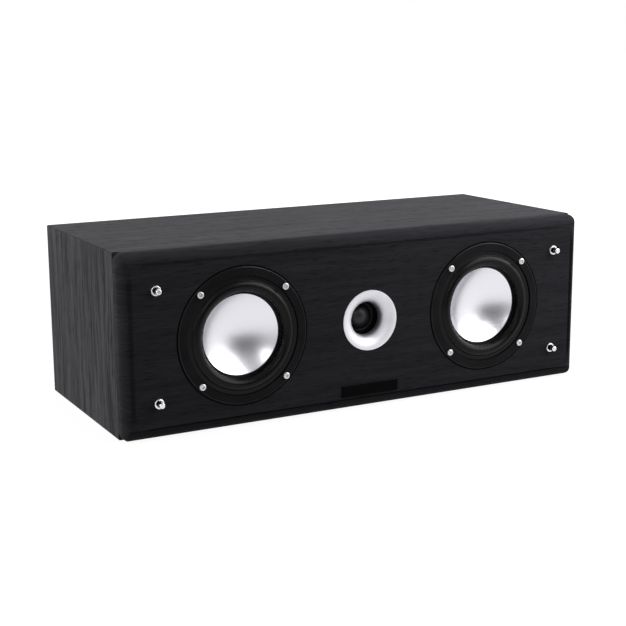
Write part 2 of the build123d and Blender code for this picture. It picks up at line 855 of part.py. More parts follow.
with BuildPart() as tweeter_yoke:
    with BuildSketch(facing(tweeter_yoke_depth)):
        with Locations(tweeter_place):
            Circle(tweeter_back_radius)
    extrude(amount=-tweeter_back_thickness)
    with BuildSketch(facing(tweeter_yoke_depth)):
        with Locations(tweeter_place):
            Circle(tweeter_coil_bore - tweeter_gap)
    extrude(amount=tweeter_yoke_depth - dome_seat)
keep(tweeter_yoke, "tweeter_yoke")

# Tweeter terminal strip: board on the faceplate's back, above the magnet, with two tags pointing up
tweeter_strip_base = driver_z + tweeter_magnet_radius + strip_clearance
tweeter_strip_middle = tweeter_strip_base + strip_reach / 2
with BuildPart() as tweeter_terminals:
    with BuildSketch(facing(dome_seat)):
        with Locations((0, tweeter_strip_middle)):
            Rectangle(strip_width, strip_reach)
    extrude(amount=-strip_thickness)
    with BuildSketch(facing(dome_seat)):
        with Locations((0, tweeter_strip_base + strip_reach + tag_length / 2)):
            with GridLocations(tag_spacing, 0, 2, 1):
                Rectangle(tag_width, tag_length)
    extrude(amount=-tag_thickness)
keep(tweeter_terminals, "tweeter_terminals")

# Tweeter screws: hold the faceplate to the back of the baffle
with BuildPart() as tweeter_screws:
    with BuildSketch(facing(dome_seat)):
        with Locations(tweeter_place):
            with PolarLocations(tweeter_screw_circle, 4, start_angle=45):
                Circle(tweeter_screw_head_radius)
    extrude(amount=-tweeter_screw_head_height)
    with BuildSketch(facing(dome_seat)):
        with Locations(tweeter_place):
            with PolarLocations(tweeter_screw_circle, 4, start_angle=45):
                Circle(tweeter_screw_radius)
    extrude(amount=tweeter_screw_length)
keep(tweeter_screws, "tweeter_screws")

# Terminal cup: moulded recess with a flange, seen from behind the cabinet
with BuildPart() as terminal_cup:
    with BuildSketch(facing(cup_seat)):
        with Locations((0, driver_z)):
            RectangleRounded(cup_width, cup_height, cup_corner)
    extrude(amount=-cup_flange)
    with BuildSketch(facing(cup_seat)):
        with Locations((0, driver_z)):
            RectangleRounded(recess_width + 2 * cup_wall, recess_height + 2 * cup_wall, recess_corner)
    extrude(amount=cup_seat - cup_floor + cup_wall)
    with BuildSketch(facing(cup_floor)):
        with Locations((0, driver_z)):
            RectangleRounded(recess_width, recess_height, recess_corner - cup_wall)
    extrude(amount=-recess_depth, mode=Mode.SUBTRACT)
    with BuildSketch(facing(cup_floor)):
        with Locations(*post_places.values()):
            Circle(post_tail_radius + post_clearance)
    extrude(amount=cup_wall, mode=Mode.SUBTRACT)
    with BuildSketch(facing(cup_seat)):
        with Locations(*cup_screw_places):
            Circle(cup_screw_radius + screw_clearance)
    extrude(amount=-cup_flange, mode=Mode.SUBTRACT)
keep(terminal_cup, "terminal_cup")

# Cup gasket: foam frame between the cup's flange and the rear panel
with BuildPart() as cup_gasket:
    with BuildSketch(facing(cup_seat)):
        with Locations((0, driver_z)):
            RectangleRounded(cup_width, cup_height, cup_corner)
            RectangleRounded(
                recess_width + 2 * (cup_wall + cutout_clearance),
                recess_height + 2 * (cup_wall + cutout_clearance),
                recess_corner,
                mode=Mode.SUBTRACT,
            )
        with Locations(*cup_screw_places):
            Circle(cup_screw_radius + screw_clearance, mode=Mode.SUBTRACT)
    extrude(amount=cup_gasket_thickness)
keep(cup_gasket, "cup_gasket")

# Cup screws
with BuildPart() as cup_screws:
    with BuildSketch(facing(cup_seat + cup_flange)):
        with Locations(*cup_screw_places):
            Circle(cup_screw_head_radius)
    extrude(amount=-cup_screw_head_height)
    fillet(cup_screws.faces().group_by(Axis.Y)[-1].edges(), cup_screw_head_round)
    with BuildSketch(facing(cup_seat + cup_flange)):
        with Locations(*cup_screw_places):
            Circle(cup_screw_radius)
    extrude(amount=cup_screw_length)
keep(cup_screws, "cup_screws")

# Binding posts and thumb nuts: a plated stud with a plug socket, and a fluted nut on each
for colour, place in post_places.items():
    with BuildPart() as post:
        with BuildSketch(facing(cup_floor)):
            with Locations(place):
                Circle(post_collar_radius)
        extrude(amount=-post_collar_height)
        with BuildSketch(facing(cup_floor + post_collar_height)):
            with Locations(place):
                Circle(post_radius)
        extrude(amount=-post_length)
        with BuildSketch(facing(cup_floor)):
            with Locations(place):
                Circle(post_tail_radius)
        extrude(amount=cup_wall + post_tail_length)
        with BuildSketch(facing(cup_floor + post_collar_height + post_length)):
            with Locations(place):
                Circle(post_socket_radius)
        extrude(amount=post_socket_depth, mode=Mode.SUBTRACT)
        wire_hole_y = front_y + cup_floor + post_collar_height + post_wire_hole_rise
        with BuildSketch(Plane.XY.offset(driver_z)):
            with Locations((place[0], wire_hole_y)):
                Circle(post_wire_hole_radius)
        extrude(amount=post_radius, both=True, mode=Mode.SUBTRACT)
    keep(post, f"post_{colour}")

    with BuildPart() as thumb_nut:
        with BuildSketch(facing(cup_floor + post_collar_height + thumb_gap)):
            with Locations(place):
                Circle(thumb_radius)
        extrude(amount=-thumb_length)
        chamfer(thumb_nut.edges().filter_by(GeomType.CIRCLE), thumb_chamfer)
        with BuildSketch(facing(cup_floor + post_collar_height + thumb_gap)):
            with Locations(place):
                Circle(post_radius + thumb_clearance)
                with PolarLocations(thumb_radius, thumb_flutes):
                    Circle(thumb_flute_radius)
        extrude(amount=-thumb_length, mode=Mode.SUBTRACT)
    keep(thumb_nut, f"thumb_nut_{colour}")

# Lock nuts: clamp the posts to the cup from inside
with BuildPart() as post_lock_nuts:
    with BuildSketch(facing(cup_floor - cup_wall)):
        with Locations(*post_places.values()):
            RegularPolygon(lock_nut_across / 2, 6, major_radius=False)
            Circle(post_tail_radius + post_clearance, mode=Mode.SUBTRACT)
    extrude(amount=lock_nut_height)
keep(post_lock_nuts, "post_lock_nuts")

# Port: moulded tube with a flared mouth, pushed into the rear panel
port_face = rear_face + port_flange
port_outer = port_radius + port_wall
port_place = (port_offset, driver_z)
with BuildPart() as port_tube:
    with BuildSketch(half_section(port_place)):
        with BuildLine():
            CenterArc((port_radius + port_flare, port_face - port_flare), port_flare, 180, -90)
            Polyline(
                (port_radius + port_flare, port_face),
                (port_flange_radius, port_face),
                (port_flange_radius, rear_face),
                (port_outer, rear_face),
                (port_outer, port_face - port_length),
                (port_radius, port_face - port_length),
                (port_radius, port_face - port_flare),
            )
        make_face()
    revolve(axis=turning_axis(port_place))
keep(port_tube, "port_tube")

# Crossover board on four spacers, screwed to the cabinet floor
with BuildPart() as crossover_board:
    with BuildSketch(Plane.XY.offset(board_z)):
        with Locations((0, board_y)):
            RectangleRounded(board_width, board_depth, board_corner)
        with Locations(*board_screw_places):
            Circle(board_screw_radius + spacer_bore_clearance, mode=Mode.SUBTRACT)
    extrude(amount=board_thickness)
keep(crossover_board, "crossover_board")

with BuildPart() as crossover_spacers:
    with BuildSketch(Plane.XY.offset(wrap_board)):
        with Locations(*board_screw_places):
            Circle(spacer_radius)
            Circle(board_screw_radius + spacer_bore_clearance, mode=Mode.SUBTRACT)
    extrude(amount=spacer_height)
keep(crossover_spacers, "crossover_spacers")

with BuildPart() as crossover_screws:
    with BuildSketch(Plane.XY.offset(parts_z)):
        with Locations(*board_screw_places):
            Circle(board_screw_head_radius)
    extrude(amount=board_screw_head_height)
    with BuildSketch(Plane.XY.offset(parts_z)):
        with Locations(*board_screw_places):
            Circle(board_screw_radius)
    extrude(amount=wrap_board - parts_z - board_screw_bite)
keep(crossover_screws, "crossover_screws")

# Woofer choke: copper winding on a flanged bobbin
choke_place = (-choke_offset, board_y - part_row)
with BuildPart() as choke_bobbin:
    with BuildSketch(Plane.XY.offset(parts_z)):
        with Locations(choke_place):
            Circle(choke_radius)
    extrude(amount=choke_flange)
    with BuildSketch(Plane.XY.offset(parts_z)):
        with Locations(choke_place):
            Circle(choke_core_radius)
    extrude(amount=choke_height)
    with BuildSketch(Plane.XY.offset(parts_z + choke_height)):
        with Locations(choke_place):
            Circle(choke_radius)
    extrude(amount=-choke_flange)
    with BuildSketch(Plane.XY.offset(parts_z)):
        with Locations(choke_place):
            Circle(choke_core_bore)
    extrude(amount=choke_height, mode=Mode.SUBTRACT)
keep(choke_bobbin, "choke_bobbin")

with BuildPart() as choke_winding:
    with BuildSketch(Plane.XY.offset(parts_z + choke_flange)):
        with Locations(choke_place):
            Circle(choke_radius - choke_flange)
            Circle(choke_core_radius + glue_line, mode=Mode.SUBTRACT)
    extrude(amount=choke_height - 2 * choke_flange)
keep(choke_winding, "choke_winding")

# Tweeter choke: air-core coil glued to the board
with BuildPart() as tweeter_choke:
    with BuildSketch(Plane.XY.offset(parts_z)):
        with Locations((tweeter_choke_offset, board_y - part_row)):
            Circle(tweeter_choke_radius)
            Circle(tweeter_choke_bore, mode=Mode.SUBTRACT)
    extrude(amount=tweeter_choke_height)
keep(tweeter_choke, "tweeter_choke")

# Capacitors: two upright cans, and a cement resistor beside them
part_row_y = board_y + board_depth / 2 - part_row
with BuildPart() as crossover_capacitors:
    with BuildSketch(Plane.XY.offset(parts_z)):
        with Locations((-capacitor_pitch / 2, part_row_y), (capacitor_pitch / 2, part_row_y)):
            Circle(capacitor_radius)
    extrude(amount=capacitor_height)
    fillet(crossover_capacitors.faces().group_by(Axis.Z)[-1].edges(), capacitor_round)
keep(crossover_capacitors, "crossover_capacitors")

with BuildPart() as crossover_resistor:
    with BuildSketch(Plane.XY.offset(parts_z)):
        with Locations((resistor_offset, board_y - board_depth / 2 + resistor_width)):
            Rectangle(resistor_length, resistor_width)
    extrude(amount=resistor_height)
keep(crossover_resistor, "crossover_resistor")


def lead(points, bend):
    """One round lead along straight runs with rounded corners, square at both ends."""
    with BuildPart() as run:
        with BuildLine() as route:
            FilletPolyline(*points, radius=bend)
        with BuildSketch(Plane(origin=route.line @ 0, z_dir=route.line % 0)):
            Circle(lead_radius)
        sweep()
    return run.part


# Input leads: from the posts' inner ends down to the board
input_row_y = board_y + board_depth / 2 - board_screw_inset
with BuildPart() as input_leads:
    for place in post_places.values():
        route_points = [
            (place[0], front_y + post_end, driver_z),
            (place[0], input_row_y, driver_z),
            (place[0], input_row_y, parts_z),
        ]
        add(lead(route_points, input_lead_bend))
keep(input_leads, "input_leads")

# Woofer leads: from the board up and out to the strips
for side, place in zip(("left", "right"), woofer_places):
    outward = 1 if place[0] > 0 else -1
    strip_end = place[0] - outward * (top_plate_radius + strip_clearance + strip_reach)
    lead_y = front_y + motor_depth + tag_thickness + lead_radius
    rise_x = outward * (board_width / 2 - 2 * board_screw_inset)
    start_y = board_y - board_depth / 2 + 2 * board_screw_inset
    route_points = [
        (rise_x, start_y, parts_z),
        (rise_x, start_y, driver_z),
        (strip_end - outward * 2 * lead_bend, lead_y, driver_z),
        (strip_end, lead_y, driver_z),
    ]
    with BuildPart() as woofer_lead:
        add(lead(route_points, lead_bend))
    keep(woofer_lead, f"woofer_lead_{side}")

# Tweeter lead: from the board's front edge up and over the magnet to the strip's back
lead_start_y = board_y - board_depth / 2 + board_screw_inset / 2
route_points = [
    (0, lead_start_y, parts_z),
    (0, lead_start_y, tweeter_strip_middle),
    (0, front_y + dome_seat + strip_thickness, tweeter_strip_middle),
]
with BuildPart() as tweeter_lead:
    add(lead(route_points, input_lead_bend))
keep(tweeter_lead, "tweeter_lead")
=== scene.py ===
import math

import bmesh
import bpy
import numpy as np
from mathutils import Matrix, Vector


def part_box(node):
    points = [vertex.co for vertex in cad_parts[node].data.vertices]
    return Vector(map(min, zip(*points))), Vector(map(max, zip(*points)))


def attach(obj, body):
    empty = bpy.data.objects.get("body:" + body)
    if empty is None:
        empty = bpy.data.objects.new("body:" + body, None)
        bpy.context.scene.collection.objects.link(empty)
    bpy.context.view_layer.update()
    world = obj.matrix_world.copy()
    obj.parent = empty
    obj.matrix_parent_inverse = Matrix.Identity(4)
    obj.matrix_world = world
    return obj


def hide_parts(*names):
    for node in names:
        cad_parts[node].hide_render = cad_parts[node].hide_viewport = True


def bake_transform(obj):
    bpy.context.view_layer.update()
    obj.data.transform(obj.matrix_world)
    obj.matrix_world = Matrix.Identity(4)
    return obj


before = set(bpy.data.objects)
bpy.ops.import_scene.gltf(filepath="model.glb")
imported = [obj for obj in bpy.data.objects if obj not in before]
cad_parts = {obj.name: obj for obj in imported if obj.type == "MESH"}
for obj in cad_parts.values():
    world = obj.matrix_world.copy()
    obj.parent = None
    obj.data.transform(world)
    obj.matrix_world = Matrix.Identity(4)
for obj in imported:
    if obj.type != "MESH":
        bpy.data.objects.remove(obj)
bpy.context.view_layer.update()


# Cabinet wrap
# Top, bottom and ends are one length of fibreboard under black ash-grain vinyl, cut with
# V-grooves, folded round and glued. The grain follows the fold, so it stands upright on the ends.
class Wire:
    """One socket of a material: arithmetic on it adds Math nodes, and add() puts in any other node."""

    def __init__(self, tree, socket):
        self.tree = tree
        self.socket = socket

    def add(self, kind, settings, inputs, output=0):
        """Any node: its settings are set first, then its sockets get their values or links."""
        node = self.tree.nodes.new(kind)
        for name, value in settings.items():
            setattr(node, name, value)
        feed(node, inputs)
        return Wire(self.tree, node.outputs[output])

    def math(self, operation, first, second=0.0):
        """A Math node on one or two values."""
        return self.add("ShaderNodeMath", {"operation": operation}, {0: first, 1: second})

    def __add__(self, other):
        return self.math("ADD", self, other)

    def __radd__(self, other):
        return self.math("ADD", other, self)

    def __sub__(self, other):
        return self.math("SUBTRACT", self, other)

    def __rsub__(self, other):
        return self.math("SUBTRACT", other, self)

    def __mul__(self, other):
        return self.math("MULTIPLY", self, other)

    def __rmul__(self, other):
        return self.math("MULTIPLY", other, self)

    def __abs__(self):
        return self.math("ABSOLUTE", self)

    def sign(self):
        return self.math("SIGN", self)

    def root(self):
        return self.math("SQRT", self)

    def wave(self):
        """The sine of the value, brought from -1..1 to 0..1."""
        return self.math("SINE", self) * 0.5 + 0.5

    def over(self, limit):
        """1 where the value is above the limit, else 0."""
        return self.math("GREATER_THAN", self, limit)

    def span(self, low, high):
        """0 below low, 1 above high, and a smooth step between."""
        settings = {"interpolation_type": "SMOOTHSTEP"}
        return self.add("ShaderNodeMapRange", settings, {"Value": self, "From Min": low, "From Max": high})

    def parts(self):
        """The three numbers of a vector."""
        split = self.add("ShaderNodeSeparateXYZ", {}, {0: self})
        return [Wire(self.tree, socket) for socket in split.socket.node.outputs]

    def join(self, second):
        """A vector of this value, a second one and 0."""
        return self.add("ShaderNodeCombineXYZ", {}, {0: self, 1: second})

    def noise(self, scale, detail=2.0, roughness=0.5):
        """Noise of about 0..1 over a vector, with so many lumps to the metre along each axis."""
        stretched = self.add("ShaderNodeVectorMath", {"operation": "MULTIPLY"}, {0: self, 1: scale})
        inputs = {"Vector": stretched, "Scale": 1.0, "Detail": detail, "Roughness": roughness}
        return self.add("ShaderNodeTexNoise", {}, inputs)

    def tint(self, low, high):
        """The colour low where the value is 0, high where it is 1."""
        return self.add("ShaderNodeMix", {"data_type": "RGBA"}, {0: self, 6: low, 7: high}, 2)

    def bump(self, depth, strength=1.0):
        """A surface normal from the value as a height, depth metres from 0 to 1."""
        return self.add("ShaderNodeBump", {}, {"Strength": strength, "Distance": depth, "Height": self})


def feed(node, inputs):
    """Set a node's sockets: a wire is linked, anything else is the socket's own value."""
    for name, value in inputs.items():
        if isinstance(value, Wire):
            value.tree.links.new(value.socket, node.inputs[name])
        else:
            node.inputs[name].default_value = value


def grey(level, warmth=0.0):
    """A colour of that linear level, a little warmer above 0 and cooler below."""
    return (level * (1 + warmth), level, level * (1 - warmth), 1.0)


def ink(level):
    """Black pigment of that linear level, which leans a little to violet."""
    return (level * 1.03, level * 0.985, level * 1.15, 1.0)


def new_finish(name):
    """An empty material, the place of a point on the piece in metres, and the shader to feed."""
    material = bpy.data.materials.new(name)
    material.use_nodes = True
    tree = material.node_tree
    place = Wire(tree, tree.nodes.new("ShaderNodeTexCoord").outputs["Object"])
    return material, place, tree.nodes["Principled BSDF"]


def ash_vinyl(name, follow, dark, light, gloss, painted_sheen=None, painted_shade=None):
    """Black ash-grain vinyl: slow bands and long streaks that wander, with short embossed pores.

    follow(x, y, z) gives how far a point lies along the grain and across it. painted_sheen(place) is 1 where
    the print is painted more even to stand in for sheen, and painted_shade(place) is 1 where shade is painted
    dark into the vinyl.
    """
    material, place, shader = new_finish(name)
    along, across = follow(*place.parts())
    wander_reach = 0.02
    sheen_tone = 0.41
    sheen_share = 0.55
    wander = along.join(across).noise((9.0, 26.0, 1.0)) - 0.5
    grain = along.join(across + wander * wander_reach)
    bands = grain.noise((6.0, 120.0, 1.0))
    streaks = grain.noise((17.0, 330.0, 1.0), 3.0, 0.6)
    pores = grain.noise((60.0, 1300.0, 1.0), 1.0).span(0.56, 0.68)
    tone = (bands * 0.55 + streaks * 0.45).span(0.34, 0.66)
    # Painted sheen: on the top the print is pulled towards one even tone, standing in for the veil of sheen
    # there.
    if painted_sheen:
        tone = tone + (sheen_tone - tone) * painted_sheen(place) * sheen_share
    darken = {"data_type": "RGBA", "blend_type": "MULTIPLY"}
    colour = pores.add("ShaderNodeMix", darken, {0: pores, 6: tone.tint(dark, light), 7: grey(0.6)}, 2)
    # Painted shade: the vinyl is darkened to near black where shade falls in steps and recesses.
    if painted_shade:
        colour = painted_shade(place).tint(colour, ink(0.001))
    relief = streaks * 0.6 - pores * 0.5
    feed(shader, {
        "Base Color": colour,
        "Roughness": 0.64 + pores * 0.2 - tone * 0.06,
        "Normal": relief.bump(0.00016, 0.55),
        "Specular IOR Level": gloss,
        "Specular Tint": (0.95, 0.91, 1.0, 1.0),
    })
    return material


def paint(material, *names):
    """Put the finish on pieces of the frame."""
    for name in names:
        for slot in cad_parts[name].material_slots:
            slot.material = material


wrap_low, wrap_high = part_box("cabinet_wrap")
half_width = wrap_high.x
half_height = (wrap_high.z - wrap_low.z) / 2
middle_z = (wrap_high.z + wrap_low.z) / 2
top_skin = 0.001


def round_the_fold(x, y, z):
    """Along the vinyl as it is wrapped: over the top from the middle, down an end, then under the bottom.

    A point belongs to an end where it lies nearer to that end's face than to the top or bottom. How
    deep it lies in the board counts as distance across, so the grain turns in over the rear edge.
    """
    height = z - middle_z
    on_end = (abs(x) - abs(height)).over(half_width - half_height)
    below = (1 - on_end) * (0 - height).over(0.0)
    over_top = abs(x)
    down_end = half_width + half_height - height
    under = 2 * half_width + 2 * half_height - abs(x)
    along = over_top * (1 - on_end - below) + down_end * on_end + under * below
    depth = x.math("MINIMUM", half_width - abs(x), half_height - abs(height))
    return along * x.sign(), y + depth


def on_top(place):
    """1 on the top of the cabinet, else 0."""
    return place.parts()[2].over(wrap_high.z - top_skin)


# The print on the top is painted more even, standing in for sheen.
wrap_vinyl = ash_vinyl("wrap_vinyl", round_the_fold, ink(0.004), ink(0.056), 0.09, painted_sheen=on_top)
paint(wrap_vinyl, "cabinet_wrap")

# Rear panel
# Fibreboard with a plain black paper face, set in a rabbet and glued. It is cut out for the
# terminal cup and the port.
material, place, shader = new_finish("rear_board")
fibres = place.noise((260.0, 260.0, 260.0), 4.0, 0.6)
cloudy = place.noise((9.0, 9.0, 9.0), 3.0)
feed(shader, {
    "Base Color": (fibres * 0.4 + cloudy * 0.6).span(0.35, 0.65).tint(grey(0.014), grey(0.026)),
    "Roughness": 0.62 + fibres * 0.15,
    "Normal": fibres.bump(0.00012, 0.5),
    "Specular IOR Level": 0.35,
})
paint(material, "rear_panel")


# Wadding
# A pad of loose polyester felt is glued to each end wall, inside the cabinet, to damp it. It is
# thick in the middle and pulled thin along its edges.
same_place = 2e-6
sharp_edge = math.radians(38)


def surface(name, points, closed_rows, closed_columns):
    """A piece from a grid of points: each cell is one face, and a closed way joins its end to its start.

    Points that fall together, as on an axis, become one, and the faces are turned outwards.
    """
    rows, columns = points.shape[:2]
    here = np.arange(rows * columns).reshape(rows, columns)
    below = np.roll(here, -1, axis=0)
    beside = np.roll(here, -1, axis=1)
    corner = np.roll(below, -1, axis=1)
    faces = np.stack([here, below, corner, beside], axis=-1)
    faces = faces[: rows if closed_rows else rows - 1, : columns if closed_columns else columns - 1]
    mesh = bpy.data.meshes.new(name)
    mesh.from_pydata(points.reshape(-1, 3).tolist(), [], faces.reshape(-1, 4).tolist())
    clean = bmesh.new()
    clean.from_mesh(mesh)
    bmesh.ops.remove_doubles(clean, verts=clean.verts, dist=same_place)
    bmesh.ops.recalc_face_normals(clean, faces=clean.faces)
    clean.to_mesh(mesh)
    clean.free()
    mesh.shade_smooth()
    mesh.set_sharp_from_angle(angle=sharp_edge)
    piece = bpy.data.objects.new(name, mesh)
    bpy.context.collection.objects.link(piece)
    return piece


def felt_pad(name, wall, reach, low, high):
    """A pad on the plane x = wall, reach thick, filling the box from low to high in y and z.

    Rows run from the wall's side round to the room's side; the outline is a square with round
    corners, and the crown falls off with the eighth power of the distance from the middle.
    """
    back_end = 0.25
    edge_end = 0.45
    edge_rise = 0.55
    fullness = 0.94
    lump_height = 0.04
    lift = np.linspace(0.0, 1.0, 60)[:, None]
    turn = np.linspace(0.0, 2 * np.pi, 160, endpoint=False)[None, :]
    inwards = (1 - lift) / (1 - edge_end)
    spread = np.where(lift < back_end, lift / back_end, np.where(lift < edge_end, 1.0, inwards))
    climb = (lift - back_end) / (edge_end - back_end) * edge_rise
    crown = 1 - (1 - edge_rise) * spread**8
    rise = np.where(lift < back_end, 0.0, np.where(lift < edge_end, climb, crown))
    square = (np.abs(np.cos(turn)) ** 8 + np.abs(np.sin(turn)) ** 8) ** (-1 / 8)
    side = np.cos(turn) * square * spread
    up = np.sin(turn) * square * spread
    lumps = lump_height * np.sin(9 * side + 2 * up) * np.sin(7 * up - 3 * side)
    x = wall + reach * rise * (fullness + lumps)
    y = (low.y + high.y) / 2 + (high.y - low.y) / 2 * side
    z = (low.z + high.z) / 2 + (high.z - low.z) / 2 * up
    return surface(name, np.stack(np.broadcast_arrays(x, y, z), axis=-1), False, True)


material, place, shader = new_finish("felt")
clumps = place.noise((70.0, 70.0, 70.0), 5.0, 0.7)
strands = place.noise((240.0, 1900.0, 700.0), 3.0, 0.7)
feed(shader, {
    "Base Color": (clumps * 0.5 + strands * 0.5).span(0.3, 0.7).tint(grey(0.52, 0.03), grey(0.82, 0.02)),
    "Roughness": 0.95,
    "Normal": (clumps + strands * 0.4).bump(0.0016, 0.8),
    "Specular IOR Level": 0.15,
})
pad_low, pad_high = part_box("wadding")
pad_reach = 0.0195
for side, wall, reach in (("left", pad_low.x, pad_reach), ("right", pad_high.x, -pad_reach)):
    pad = felt_pad(f"wadding_{side}", wall, reach, pad_low, pad_high)
    pad.data.materials.append(material)
    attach(pad, "cabinet")
    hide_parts("wadding")

# Front baffle
# A separate board under the same vinyl with the grain lying level, glued over the wrap's front.
# Its top and bottom edges are routed to a round with a small step, its ends to a plain round, and
# its corners are turned. Shade is painted dark into the vinyl in the steps, at the ends and round each
# recess.
baffle_low, baffle_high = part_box("front_baffle")
front_y = baffle_low.y
edge_reach = 0.008
step_inset = 0.011
step_stop = 0.012
step_fade = 0.02
turn_inset = 0.0112
turn_width = 0.004
flange_radius = 0.064
shade_line_width = 0.0011
shade_line_core = 0.35 * shade_line_width
rim_shade_core = 0.8 * shade_line_width
rim_shade_reach = 1.6 * shade_line_width
top_shade = 0.5
left_end_shade = 0.35
right_end_shade = 0.95
step_height = half_height - step_inset
step_end = baffle_high.x - step_stop
turn_start = baffle_high.x - turn_inset
turn_end = turn_start + turn_width


def middle_of(node):
    """The axis of a round piece, as its place across and up."""
    low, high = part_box(node)
    return (low.x + high.x) / 2, (low.z + high.z) / 2


woofer_axes = {side: middle_of(f"woofer_basket_{side}") for side in ("left", "right")}


def off_axis(beside, above):
    """How far a point lies from an axis, given how far it lies beside and above it."""
    return (beside * beside + above * above).root()


def from_woofer(place):
    """How far a point lies from the axis of the woofer on its side."""
    across, out, up = place.parts()
    return off_axis(abs(across) - woofer_axes["right"][0], up - woofer_axes["right"][1])


def over_the_edge(x, y, z):
    """Level grain: the distance from the middle of the front, carried on back over each rounded edge."""
    back = y - front_y
    height = z - middle_z
    near_end = abs(x).span(baffle_high.x - 2 * edge_reach, baffle_high.x - edge_reach)
    near_top = abs(height).span(half_height - 2 * edge_reach, half_height - edge_reach)
    return x + x.sign() * back * near_end, height + height.sign() * back * near_top


def painted_shade_lines(place):
    """1 where shade is painted: in the steps' corners, where each end starts to turn and at the rim of each
    recess, else 0.

    The painted shade is fainter along the top step and at the left end, and in each step it fades out
    towards its ends.
    """
    x, y, z = place.parts()
    height = z - middle_z
    shade_in_step = 1 - abs(abs(height) - step_height).span(shade_line_core, shade_line_width)
    shade_in_step = shade_in_step * (1 - abs(x).span(step_end - step_fade, step_end))
    shade_in_step = shade_in_step * (1 - height.over(0.0) * (1 - top_shade))
    shade_on_turn = abs(x).span(turn_start, turn_start + shade_line_width)
    shade_on_turn = shade_on_turn * (1 - abs(x).span(turn_end, turn_end + shade_line_width))
    shade_on_turn = shade_on_turn * (left_end_shade + x.over(0.0) * (right_end_shade - left_end_shade))
    shade_on_turn = shade_on_turn * (1 - abs(height).span(step_height - step_fade, step_height))
    shade_at_rim = 1 - abs(from_woofer(place) - flange_radius).span(rim_shade_core, rim_shade_reach)
    return x.math("MAXIMUM", x.math("MAXIMUM", shade_in_step, shade_on_turn), shade_at_rim)


# The front vinyl carries painted shade in its steps, at its ends and round each woofer recess.
baffle_vinyl = ash_vinyl("baffle_vinyl", over_the_edge, ink(0.0235), ink(0.0335), 0.03, painted_shade=painted_shade_lines)
paint(baffle_vinyl, "front_baffle")

# Nameplate
# A thin plate of glossy black plastic with bevelled edges. It is stuck on low in the middle of the
# front and left bare.
material, place, shader = new_finish("plate_gloss")
flow = place.noise((90.0, 90.0, 90.0), 3.0)
dust = place.noise((2600.0, 2600.0, 2600.0), 1.0).span(0.66, 0.75)
feed(shader, {
    "Base Color": dust.tint(grey(0.0012), grey(0.008)),
    "Roughness": 0.24 + flow * 0.14,
    "Normal": flow.bump(0.0001, 0.25),
    "Specular IOR Level": 0.03,
})
paint(material, "nameplate")

# Grille pegs
# Four turned ball studs, brightly plated and pressed into the baffle. The grille, which is off,
# snaps on to their heads. A dark reflection is painted black and bare on the neck behind each head.
peg_low, peg_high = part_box("grille_pegs")
collar_radius = 0.0047
reflection_radius = 0.0031
head_back = 0.0045
material, place, shader = new_finish("bright_plating")
across, out, up = place.parts()
beside = abs(across) - (peg_high.x - collar_radius)
above = abs(up - middle_z) - ((peg_high.z - peg_low.z) / 2 - collar_radius)
from_peg = off_axis(beside, above)
# Painted reflection: the neck behind each head is painted black, standing in for the dark baffle seen in the
# chrome.
painted_dark_reflection = (reflection_radius - from_peg).over(0.0) * out.over(front_y - head_back)
smears = place.noise((420.0, 420.0, 420.0), 3.0)
plating = smears.span(0.3, 0.7).tint(grey(0.7), grey(0.82))
feed(shader, {
    "Base Color": painted_dark_reflection.tint(plating, grey(0.004)),
    "Metallic": 1 - painted_dark_reflection,
    "Roughness": 0.06 + smears * 0.1 + painted_dark_reflection * 0.5,
    "Specular IOR Level": 0.05,
})
paint(material, "grille_pegs")

# Woofer frames
# Each cast basket has a round flange let into the baffle on a foam gasket, and carries a small
# phenolic strip with the solder tags. The casting is coated satin black.
edge_width = 0.0014
material, place, shader = new_finish("frame_coat")
peel = place.noise((1400.0, 1400.0, 1400.0), 2.0)
patches = place.noise((45.0, 45.0, 45.0), 3.0)
rubbed = from_woofer(place).span(flange_radius - edge_width, flange_radius - edge_width / 2)
feed(shader, {
    "Base Color": patches.span(0.3, 0.7).tint(ink(0.008), ink(0.012)),
    "Roughness": 0.34 + patches * 0.14,
    "Normal": peel.bump(0.00003, 0.5),
    "Specular IOR Level": 0.06,
    "Coat Weight": rubbed * 0.25,
    "Coat Roughness": 0.12,
})
paint(material, "woofer_basket_left", "woofer_basket_right")

material, place, shader = new_finish("gasket_foam")
cells = place.noise((1900.0, 1900.0, 1900.0), 2.0)
feed(shader, {
    "Base Color": cells.tint(grey(0.02), grey(0.06)),
    "Roughness": 0.9,
    "Normal": cells.bump(0.0002, 0.7),
})
paint(material, "woofer_gasket_left", "woofer_gasket_right", "cup_gasket")

material, place, shader = new_finish("phenolic")
paper = place.noise((900.0, 240.0, 900.0), 4.0, 0.6)
feed(shader, {
    "Base Color": paper.span(0.3, 0.7).tint((0.22, 0.12, 0.045, 1), (0.42, 0.26, 0.11, 1)),
    "Roughness": 0.4 + paper * 0.2,
    "Normal": paper.bump(0.00004, 0.4),
})
paint(material, "woofer_terminals_left", "woofer_terminals_right", "tweeter_terminals", "crossover_board")

# Woofer motors
# A ferrite ring is glued between a pressed top plate and a yoke with its pole. The steel is zinc
# plated, and the ferrite is ground on its faces.
material, place, shader = new_finish("plated_steel")
spangle = place.noise((320.0, 320.0, 320.0), 3.0, 0.6)
brushing = place.noise((150.0, 5200.0, 150.0), 2.0)
feed(shader, {
    "Base Color": spangle.span(0.3, 0.7).tint((0.42, 0.41, 0.36, 1), (0.6, 0.58, 0.52, 1)),
    "Metallic": 1.0,
    "Roughness": 0.28 + spangle * 0.2,
    "Normal": brushing.bump(0.00003, 0.3),
})
paint(material, *(f"woofer_{part}_{side}" for part in ("top_plate", "yoke") for side in ("left", "right")))
paint(material, "tweeter_top_plate", "tweeter_yoke")

